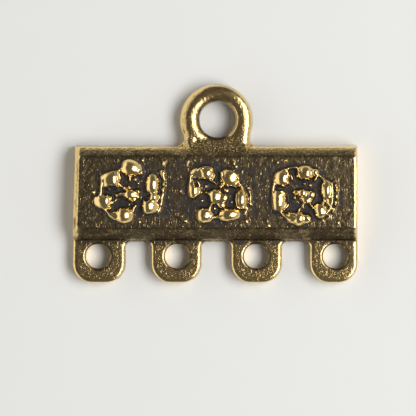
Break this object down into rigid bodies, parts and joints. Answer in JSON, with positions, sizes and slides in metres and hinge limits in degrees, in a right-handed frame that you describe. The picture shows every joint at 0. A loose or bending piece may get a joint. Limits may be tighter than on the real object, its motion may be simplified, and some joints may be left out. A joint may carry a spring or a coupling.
{
  "type": "four-strand connector",
  "caption": "Cast antique-gold strand connector: flat bar with raised rosettes, a round loop on top and a row of rounded strand loops below.",
  "frame": {"origin": "middle of the outline, on the flat back that it lies on", "axes": "+X along the bar, +Y towards the main loop, +Z out of the decorated face"},
  "size_m": [0.02, 0.0138, 0.0025],
  "materials": {
    "antique_gold": "antique gold plate, bright on the edges and raised petals, dark brown patina on the flat ground and near-black in the hollows"
  },
  "bodies": {
    "root": {"cast_connector": "antique_gold"}
  },
  "joints": []
}
